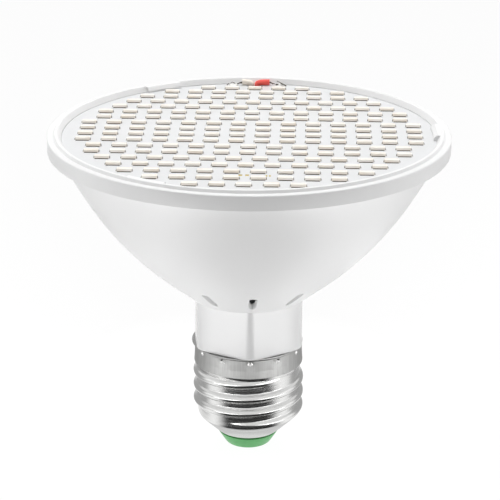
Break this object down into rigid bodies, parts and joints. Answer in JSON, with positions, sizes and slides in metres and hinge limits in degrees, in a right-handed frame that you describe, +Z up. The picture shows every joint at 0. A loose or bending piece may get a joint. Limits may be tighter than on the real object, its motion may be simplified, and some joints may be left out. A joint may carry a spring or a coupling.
{
  "type": "grow light bulb",
  "caption": "Bowl-shaped grow lamp: a round LED board in a white vented housing, on a hexagonal neck with a screw cap for an E27 holder.",
  "frame": {"origin": "tip of the centre contact, on the lamp's axis", "axes": "+Z up the lamp's axis from the screw cap to the LED face, a corner of the neck towards -Y"},
  "size_m": [0.0924, 0.0924, 0.0794],
  "materials": {
    "contact_metal": "nickel-plated, bright",
    "green_insulator": "moulded, glossy",
    "plated_shell": "nickel-plated, drawn and rolled",
    "white_gloss_plastic": "moulded, glossy",
    "white_satin_plastic": "moulded, satin",
    "white_board": "white solder mask over an aluminium core",
    "cream_package": "moulded package, cream-white phosphor window",
    "driver_laminate": "bare laminate",
    "red_dip_coat": "dip-coated, glossy",
    "black_sleeve": "shrink sleeve",
    "black_epoxy": "moulded epoxy",
    "resistor_lacquer": "lacquered",
    "cream_wire": "extruded insulation",
    "tinned_wire": "tinned",
    "red_wire": "extruded insulation",
    "bright_solder": "bright tin solder"
  },
  "bodies": {
    "root": {"centre_contact": "contact_metal", "base_insulator": "green_insulator", "screw_shell": "plated_shell", "neck_sleeve": "white_gloss_plastic", "bowl_housing": "white_satin_plastic", "led_board": "white_board", "led_packages": "cream_package", "driver_board": "driver_laminate", "film_capacitor": "red_dip_coat", "electrolytic_capacitor": "black_sleeve", "bridge_rectifier": "black_epoxy", "fusible_resistor": "resistor_lacquer", "discharge_resistor": "resistor_lacquer", "chip_resistors": "black_epoxy", "live_lead": "cream_wire", "neutral_lead": "tinned_wire", "white_lead": "cream_wire", "red_lead": "red_wire", "lead_solder": "bright_solder"}
  },
  "joints": []
}
